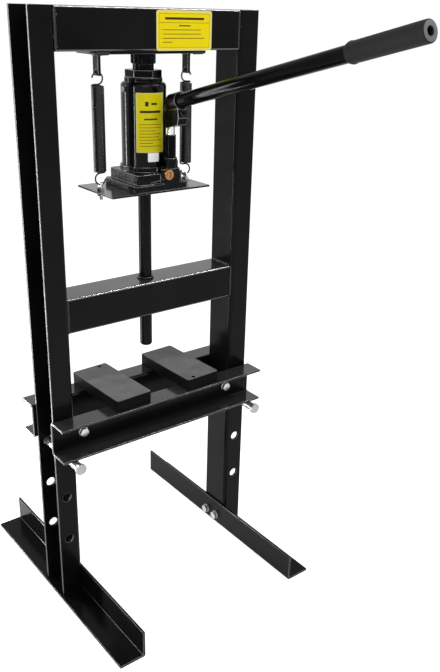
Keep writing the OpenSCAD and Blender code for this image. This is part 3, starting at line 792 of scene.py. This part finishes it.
def add_hook_bolts():
    """Threaded studs whose upper ends are flattened and drilled for the springs."""
    rise, thickness, bore = 4.2 * MM, 3.2 * MM, 1.8 * MM
    top_of_nuts = max(high.z for low, high in solids_of("hook_bolt_nuts"))
    shoulder = top_of_nuts + 0.5 * MM
    shapes = Shapes()
    for low, high in solids_of("hook_bolts"):
        middle = (low + high) / 2
        radius = (high.x - low.x) / 2
        stud = threaded_rod(radius, shoulder + 0.6 * MM - low.z, HOOK_THREAD)
        shapes.add(*stud, Matrix.Translation((middle.x, middle.y, low.z)))
        eye_z = high.z - rise
        blade = eye_blade(high.y - low.y, rise, eye_z - shoulder, thickness, bore)
        shapes.add(*blade, Matrix.Translation((middle.x, middle.y, eye_z)))
    add_shown("hook_bolts", shapes, [ZINC])


add_hook_bolts()

# ---- Extension screw ----


def add_extension_screw():
    """A fluted saddle on a coarse screw thread."""
    low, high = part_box("extension_screw")
    flutes, flute_r, saddle_h = 8, 3 * MM, 14 * MM
    saddle_r = (high.x - low.x) / 2
    saddle_z = high.z - saddle_h
    shank_r = 9.5 * MM

    def fluted(z, inset):
        ring = []
        for a in angles(flutes * 16):
            off = (a + math.pi / flutes) % (2 * math.pi / flutes) - math.pi / flutes
            reach = saddle_r + 1 * MM
            inside = flute_r ** 2 - (reach * math.sin(off)) ** 2
            radius = saddle_r
            if inside > 0:
                radius = min(radius, reach * math.cos(off) - math.sqrt(inside))
            radius -= inset
            ring.append((radius * math.cos(a), radius * math.sin(a), z))
        return ring

    soft = 1.2 * MM
    rings = [
        fluted(saddle_z, soft), fluted(saddle_z + soft, 0),
        fluted(high.z - soft, 0), fluted(high.z, soft),
    ]
    shapes = Shapes()
    shapes.add(*rings_to_mesh(rings))
    shank = threaded_rod(shank_r, saddle_z + 1 * MM - low.z, SCREW_THREAD, per_turn=40)
    shapes.add(*shank, Matrix.Translation((0, 0, low.z)))
    add_shown("extension_screw", shapes, [JACK_PAINT], angle=40)


add_extension_screw()

# ---- Return springs ----

# The wire's diameter, and the degrees at which a hook's wire meets the coil.
WIRE = 2.4 * MM
JOIN = 150
# How far the screw, and the screw and the jack together, stretch a spring.
SCREW_TRAVEL, WHOLE_TRAVEL = 0.030, 0.125


def spring_end(radius, rise):
    """The upper hook's path, down to the coil: loop, straight across, bend into the coil."""
    points = []
    for degrees in range(175, -91, -5):
        a = math.radians(degrees)
        points.append(Vector((radius * math.cos(a), 0, radius + radius * math.sin(a))))
    start = Vector((-radius * 0.45, 0, 0))
    end_turn = math.radians(JOIN)
    end = Vector((radius * math.cos(end_turn), radius * math.sin(end_turn), -rise))
    leave = Vector((-1, 0, 0)) * radius * 0.6
    arrive = Vector((math.sin(end_turn), -math.cos(end_turn), 0)) * radius * 0.5
    steps = 8
    for i in range(steps + 1):
        t = i / steps
        a, b, c, d = (1 - t) ** 3, 3 * t * (1 - t) ** 2, 3 * t * t * (1 - t), t ** 3
        points.append(start * a + (start + leave) * b + (end - arrive) * c + end * d)
    return points


def spring_path(radius, coil_low, coil_top):
    """One wire from the upper hook round the coil to the lower hook, about its own axis."""
    middle = (coil_low + coil_top) / 2
    span = coil_top - coil_low - WIRE
    turns = round(span / WIRE) + 0.5
    rise = WIRE * 0.75
    upper = [p + Vector((0, 0, coil_top + WIRE / 4)) for p in spring_end(radius, rise)]
    first, last = math.radians(JOIN), math.radians(360 - JOIN - 360 * turns)
    start_z = coil_top + WIRE / 4 - rise
    steps_a_turn = 28
    steps = int(turns * steps_a_turn)
    path = list(upper)
    for i in range(1, steps):
        t = i / steps
        a = first + (last - first) * t
        z = start_z + (2 * middle - 2 * start_z) * t
        path.append(Vector((radius * math.cos(a), radius * math.sin(a), z)))
    lower = [Vector((-p.x, p.y, 2 * middle - p.z)) for p in reversed(upper)]
    return path + lower


def add_spring(node_name, side):
    """A spring in two pieces that share a ring, split where the screw's share of the stretch would
    end.
    """
    low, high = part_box(node_name)
    middle = (low + high) / 2
    radius = (high.y - low.y - WIRE) / 2
    hook = WIRE / 4 + 2 * radius + WIRE / 2
    coil_low, coil_top = low.z + hook, high.z - hook
    path = spring_path(radius, coil_low, coil_top)
    path = [Vector((middle.x + side * p.x, middle.y + p.y, p.z)) for p in path]
    rings = sweep_rings(path, WIRE / 2, sides=8)
    split_z = coil_top - SCREW_TRAVEL / WHOLE_TRAVEL * (coil_top - coil_low)
    in_coil = [i for i, p in enumerate(path) if coil_low + WIRE < p.z < coil_top - WIRE]
    split = min(in_coil, key=lambda i: abs(path[i].z - split_z))
    overlap = WIRE / 2
    spans = (
        ("upper", rings[:split + 1], "frame", "ram", coil_top, split_z + overlap),
        ("lower", rings[split:], "ram", "carriage", split_z - overlap, coil_low),
    )
    for label, part, above, below, start_z, end_z in spans:
        shapes = Shapes()
        shapes.add(*rings_to_mesh(part))
        piece = add_piece(
            f"{node_name}_{label}", shapes, [SPRING], None, [node_name]
        )
        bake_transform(piece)


add_spring("left_spring", 1)
add_spring("right_spring", -1)

# ---- Welds ----

# Spatter on the top beam's front: across, height above the floor and radius, in mm.
SPATTER = (
    (-151, 918, 1.5), (-154.6, 915.5, 1.2), (-153.6, 910.5, 1.4), (-156.2, 891.6, 1.4),
    (-151.4, 879.4, 1.1), (-150.2, 875.4, 1.0), (-160, 900, 0.7), (-147, 886, 0.6),
    (156, 906, 1.0), (176, 895, 0.9), (149, 884, 0.7),
)


def bead_rings(start, end, radius, seed):
    """A weld bead from start to end: overlapping crescents of slightly uneven size."""
    chance = random.Random(seed)
    axis = end - start
    length = axis.length
    axis.normalize()
    side = axis.orthogonal().normalized()
    other = axis.cross(side)
    pitch, rings_a_crescent, rings_a_drift, sides = 1.9 * MM, 4, 6, 14
    ripple, unevenness = 0.22, 0.08
    count = max(8, int(length / (pitch / rings_a_crescent)))
    drift = [chance.uniform(-1, 1) for _ in range(count // rings_a_drift + 3)]
    rings = []
    for i in range(count + 1):
        s = length * i / count
        k = i / rings_a_drift
        wander = drift[int(k)] * (1 - k % 1) + drift[int(k) + 1] * (k % 1)
        ease = min(s, length - s) / (radius * 1.4)
        closing = math.sqrt(max(0.04, 1 - (1 - min(ease, 1)) ** 2))
        ring = []
        for a in angles(sides):
            phase = (s / pitch + 0.3 * math.cos(a)) % 1
            scallop = 1 + ripple * (abs(phase * 2 - 1) - 0.5) + unevenness * wander
            reach = radius * scallop * closing
            ring.append(start + axis * s + (side * math.cos(a) + other * math.sin(a)) * reach)
        rings.append(ring)
    return rings


def add_welds():
    """Beads at the ends of both beams, on the bar's ends and round the tabs, with spatter."""
    beam_low, beam_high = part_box("top_beam")
    guide_low, guide_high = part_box("guide_beam")
    bar_low, bar_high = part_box("hanger_bar")
    # Each bead's two ends and its radius.
    beads = []

    def seam(radius, ends):
        beads.append((*(Vector(end) for end in ends), radius * MM))

    for x in (-1, 1):
        web = beam_high.x * x
        groove = web - x * 0.8 * MM
        for y in (beam_low.y + 1.7 * MM, beam_high.y - 1.7 * MM):
            seam(2.4, [(groove, y, z) for z in (beam_low.z + 1.5 * MM, beam_high.z - 1.5 * MM)])
        for z in (guide_low.z, guide_high.z):
            seam(3.0, [(web, y, z) for y in (guide_low.y + 3 * MM, guide_high.y - 3 * MM)])
        for y in (guide_low.y, guide_high.y):
            seam(2.2, [(web, y, z) for z in (guide_low.z + 1 * MM, guide_high.z - 1 * MM)])
        bar_end = bar_high.x * x
        seam(3.2, [(bar_end, y, bar_high.z) for y in (bar_low.y + 2 * MM, bar_high.y - 2 * MM)])
        front = (bar_low.y, bar_high.z - 2 * MM)
        seam(3.6, [(bar_end - x * s * MM, *front) for s in (2, 26)])
    for low, high in solids_of("hanger_tabs"):
        for x in (low.x, high.x):
            seam(3.6, [(x, y, high.z) for y in (low.y, high.y)])
    shapes = Shapes()
    for seed, (start, end, radius) in enumerate(beads):
        shapes.add(*rings_to_mesh(bead_rings(start, end, radius, seed)))
    for x, z, radius in SPATTER:
        reach, height = radius * MM, radius * MM * 0.8
        dome = [(reach * math.cos(t), height * math.sin(t)) for t in (-0.4, 0, 0.5, 1, 1.4)]
        dome.append((0.05 * MM, height))
        place = along((x * MM, beam_low.y, z * MM), (0, -1, 0))
        shapes.add(*lathe(dome, steps=12), place)
    add_piece("welds_shown", shapes, [WELD], "frame", ["frame_welds"])


add_welds()

# ---- Labels ----

# The thickness of a label's film, and what its field and its print add to that.
FILM = 0.30 * MM
FIELD_RISE = 0.03 * MM
PRINT_RISE = 0.05 * MM


def sheet_outline(width, height, corner):
    """Columns across a rounded rectangle: each is a place and half its height."""
    corner_steps, middle_steps = 6, 20
    left, flat = -width / 2 + corner, width - 2 * corner
    places = []
    for i in range(corner_steps + 1):
        a = math.pi / 2 * i / corner_steps
        inset, drop = corner * (1 - math.cos(a)), corner * (1 - math.sin(a))
        places.append((-width / 2 + inset, height / 2 - drop))
    inner = [(left + flat * i / middle_steps, height / 2) for i in range(1, middle_steps)]
    return places + inner + [(-x, h) for x, h in reversed(places)]


def add_sheet(shapes, bend, centre, size, corner, lift, tag):
    """A thin raised panel of a label; bend takes (across, up, out) to a point in space."""
    rings = []
    for x, half in sheet_outline(*size, max(corner, 1e-6)):
        across = centre[0] + x
        low, high = centre[1] - half, centre[1] + half
        outline = ((low, 0), (high, 0), (high, lift), (low, lift))
        rings.append([bend(across, up, out) for up, out in outline])
    shapes.add(*rings_to_mesh(rings), tag=tag)


def add_label(node_name, bend, size, corner, border, rows, inks):
    """A label with a pale rim, a field of colour, an inner line and plain rows of bars.

    Each row is a bar's place across and up, and its width and height, in mm.
    """
    width, height = size
    field = (width - 2 * border, height - 2 * border)
    field_corner = max(corner - border, 0.2 * MM)
    shapes = Shapes()
    add_sheet(shapes, bend, (0, 0), size, corner, FILM, 0)
    add_sheet(shapes, bend, (0, 0), field, field_corner, FILM + FIELD_RISE, 1)
    for x, z, bar_w, bar_h in rows:
        bar = (bar_w * MM, bar_h * MM)
        add_sheet(shapes, bend, (x * MM, z * MM), bar, 0, FILM + PRINT_RISE, 2)
    add_shown(node_name, shapes, inks, angle=50)


def frame_rows(width, height, thickness):
    """Four bars that draw a rectangle's outline."""
    return [
        (0, height / 2, width, thickness), (0, -height / 2, width, thickness),
        (-width / 2, 0, thickness, height), (width / 2, 0, thickness, height),
    ]


def add_beam_label():
    low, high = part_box("beam_label")
    middle = (low + high) / 2

    def bend(across, up, out):
        return Vector((middle.x + across, high.y - out, middle.z + up))

    rows = frame_rows(88, 45, 0.35) + [(0, 10.5, 88, 0.5), (0, 16, 68, 3.2), (0, 6.5, 20, 1.6)]
    for i, length in enumerate((66, 66, 72)):
        z = 1 - i * 5.6
        rows += [(-40, z, 1.1, 1.1), ((length - 78) / 2 + 2, z, length, 0.9)]
    rows.append((-30, -15.5, 16, 0.9))
    size = (high.x - low.x, high.z - low.z)
    inks = [PALE, YELLOW, INK]
    add_label("beam_label", bend, size, 4 * MM, 2.6 * MM, rows, inks)


def tank_bend(node_name, turn, arc):
    """The map from a flat sheet to the tank's wall, and the sheet's size.

    The sheet starts at turn degrees round the tank and covers arc degrees.
    """
    low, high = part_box(node_name)
    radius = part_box("oil_tank")[1].x + 0.1 * MM
    width = radius * math.radians(arc)
    middle_turn = math.radians(turn + arc / 2)
    middle_z = (low.z + high.z) / 2

    def bend(across, up, out):
        a = middle_turn + across / radius
        return Vector(((radius + out) * math.cos(a), (radius + out) * math.sin(a), middle_z + up))

    return bend, (width, high.z - low.z)


def add_tank_labels():
    bend, size = tank_bend("tank_label", turn=-142, arc=75)
    rows = [(-6, 27, 5, 6.5), (5, 27, 9, 3), (0, 16, 32, 3.4), (0, 5.5, 20, 2.4)]
    for i, length in enumerate((34, 34, 24, 34, 30, 34, 20, 34)):
        rows.append(((length - 34) / 2, -2 - i * 4.4, length, 0.8))
    inks = [SHADED_PALE, SHADED_YELLOW, INK]
    add_label("tank_label", bend, size, 1 * MM, 1.4 * MM, rows, inks)
    bend, size = tank_bend("tank_sticker", turn=-113, arc=30)
    shapes = Shapes()
    add_sheet(shapes, bend, (0, 0), size, 1 * MM, FILM, 0)
    add_shown("tank_sticker", shapes, [WHITE], angle=50)


add_beam_label()
add_tank_labels()

# ---- Stage ----

# The photograph's camera: degrees, metres, and a lens for a 36 mm sensor.
CAMERA_AZIMUTH, CAMERA_ELEVATION, CAMERA_ROLL = -38.46, 22.58, 1.62
CAMERA_PLACE = Vector((-0.653, -1.019, 0.931))
CAMERA_LENS = 42.2
# Each lamp's name, place, target, side direction, size in metres and watts.
LAMPS = (
    ("key", (-0.9, -2.2, 2.0), (0, 0, 0.5), (1, 0, 0), (1.6, 1.2), 24),
    ("edge_strip", (0.98, -0.85, 2.2), (0, 0, 0.5), (1, 0, 0), (1.1, 0.05), 18),
    ("side_strip", (-2.2, -0.38, 0.62), (0, -0.1, 0.6), (0, 0, 1), (1.1, 0.06), 14),
    ("rear_strip", (-0.38, 0.36, 0.48), (-0.19, 0, 0.48), (0, 0, 1), (0.94, 0.05), 5),
)


def add_camera():
    """A camera at the photograph's angle, turned from its azimuth, elevation and roll."""
    az, el, roll = (math.radians(v) for v in (CAMERA_AZIMUTH, CAMERA_ELEVATION, CAMERA_ROLL))
    back = Vector((math.sin(az) * math.cos(el), -math.cos(az) * math.cos(el), math.sin(el)))
    right = (-back).cross(UP).normalized()
    up = right.cross(-back)
    turned_right = right * math.cos(roll) + up * math.sin(roll)
    turned_up = up * math.cos(roll) - right * math.sin(roll)
    data = bpy.data.cameras.new("camera")
    data.lens = CAMERA_LENS
    data.sensor_width = 36
    camera = bpy.data.objects.new("camera", data)
    axes = Matrix((turned_right, turned_up, back)).transposed()
    camera.matrix_world = Matrix.Translation(CAMERA_PLACE) @ axes.to_4x4()
    bpy.context.scene.collection.objects.link(camera)
    bpy.context.scene.camera = camera


def add_lamp(name, place, target, side, size, watts):
    """A soft panel that faces the target, its first size along the side direction."""
    data = bpy.data.lights.new(name, "AREA")
    data.shape = "RECTANGLE"
    data.size, data.size_y = size
    data.energy = watts
    lamp = bpy.data.objects.new(name, data)
    axis = (Vector(place) - Vector(target)).normalized()
    across = (Vector(side) - axis * Vector(side).dot(axis)).normalized()
    lamp.matrix_world = facing(place, axis, across)
    bpy.context.scene.collection.objects.link(lamp)


def seen_directly(owner):
    """1 for rays from the camera, off gloss and through glass, otherwise 0."""
    rays = node(owner, "ShaderNodeLightPath")
    total = rays.outputs["Is Camera Ray"]
    for key in ("Is Glossy Ray", "Is Transmission Ray"):
        either = node(owner, "ShaderNodeMath", operation="MAXIMUM")
        link(owner, total, either.inputs[0])
        link(owner, rays.outputs[key], either.inputs[1])
        total = either.outputs[0]
    return total


def add_world(light, shown):
    """Even light from all sides; the camera and reflections see the white background."""
    world = bpy.data.worlds.new("studio")
    bpy.context.scene.world = world
    world.use_nodes = True
    background = world.node_tree.nodes["Background"]
    background.inputs["Color"].default_value = (1, 1, 1, 1)
    strength = node(world, "ShaderNodeMapRange")
    strength.inputs["To Min"].default_value = light
    strength.inputs["To Max"].default_value = shown
    link(world, seen_directly(world), strength.inputs["Value"])
    link(world, strength.outputs["Result"], background.inputs["Strength"])


def add_floor(lift):
    """A pale floor: it keeps the shadow, and is lifted to white where it is seen."""
    mat = bpy.data.materials.new("floor_white")
    mat.use_nodes = True
    mat.node_tree.nodes.clear()
    diffuse = node(mat, "ShaderNodeBsdfDiffuse", Color=(0.9, 0.9, 0.9, 1))
    glow = node(mat, "ShaderNodeEmission")
    strength = node(mat, "ShaderNodeMath", operation="MULTIPLY")
    strength.inputs[1].default_value = lift
    link(mat, seen_directly(mat), strength.inputs[0])
    link(mat, strength.outputs[0], glow.inputs["Strength"])
    both = node(mat, "ShaderNodeAddShader")
    link(mat, diffuse.outputs[0], both.inputs[0])
    link(mat, glow.outputs[0], both.inputs[1])
    output = node(mat, "ShaderNodeOutputMaterial")
    link(mat, both.outputs[0], output.inputs["Surface"])
    half = 6.0
    corners = [(-half, -half, 0), (half, -half, 0), (half, half, 0), (-half, half, 0)]
    mesh = bpy.data.meshes.new("floor")
    mesh.from_pydata(corners, [], [(0, 1, 2, 3)])
    mesh.materials.append(mat)
    floor = bpy.data.objects.new("floor", mesh)
    floor.location.z = -0.0002
    bpy.context.scene.collection.objects.link(floor)


add_camera()
add_world(light=0.57, shown=1.0)
add_floor(lift=0.52)
for lamp in LAMPS:
    add_lamp(*lamp)
bpy.context.scene.view_settings.view_transform = "Standard"
